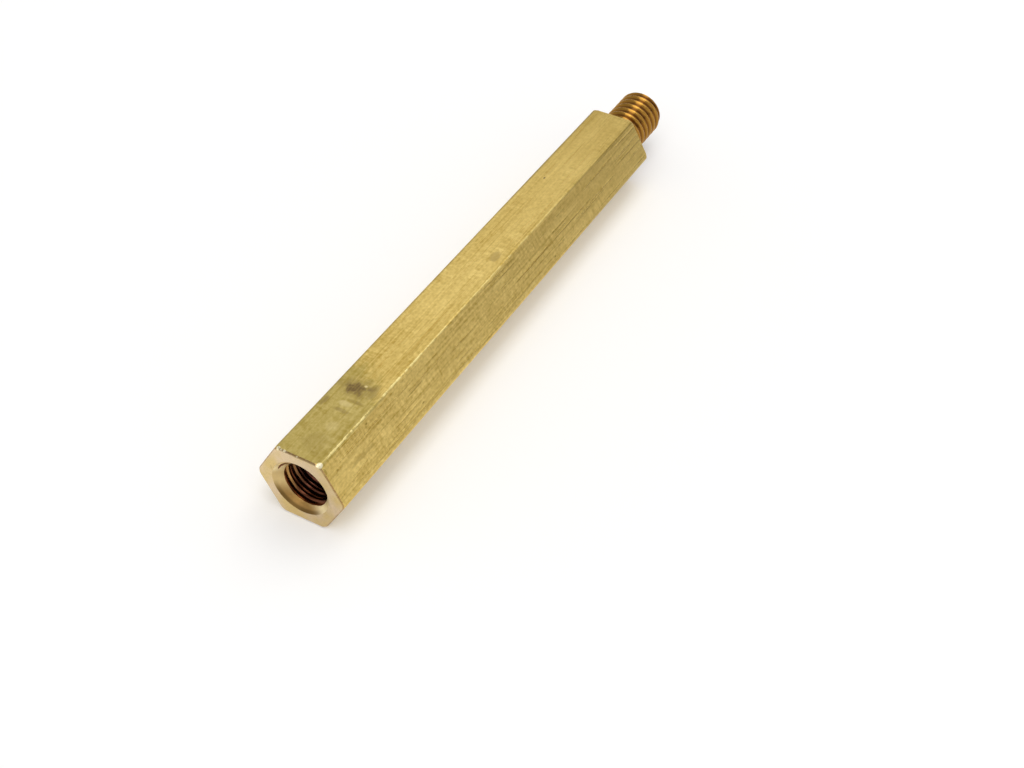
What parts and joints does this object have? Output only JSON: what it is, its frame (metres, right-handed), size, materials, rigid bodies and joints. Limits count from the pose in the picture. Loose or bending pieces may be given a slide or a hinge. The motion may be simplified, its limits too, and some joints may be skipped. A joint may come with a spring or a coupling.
{
  "type": "hex standoff",
  "caption": "Brass male-female hex standoff: a long hexagonal spacer with a tapped hole in one end and a threaded stud with a relief neck on the other.",
  "frame": {"origin": "middle of the tapped end face, on the part's axis", "axes": "+X along the axis from the tapped end to the stud, +Z out of the flat that faces up, +Y completes the set towards an edge"},
  "size_m": [0.051, 0.0068, 0.006],
  "materials": {
    "brass": "drawn flats with fine lengthwise lines, bright turned ends and stud"
  },
  "bodies": {
    "root": {"standoff": "brass"}
  },
  "joints": []
}
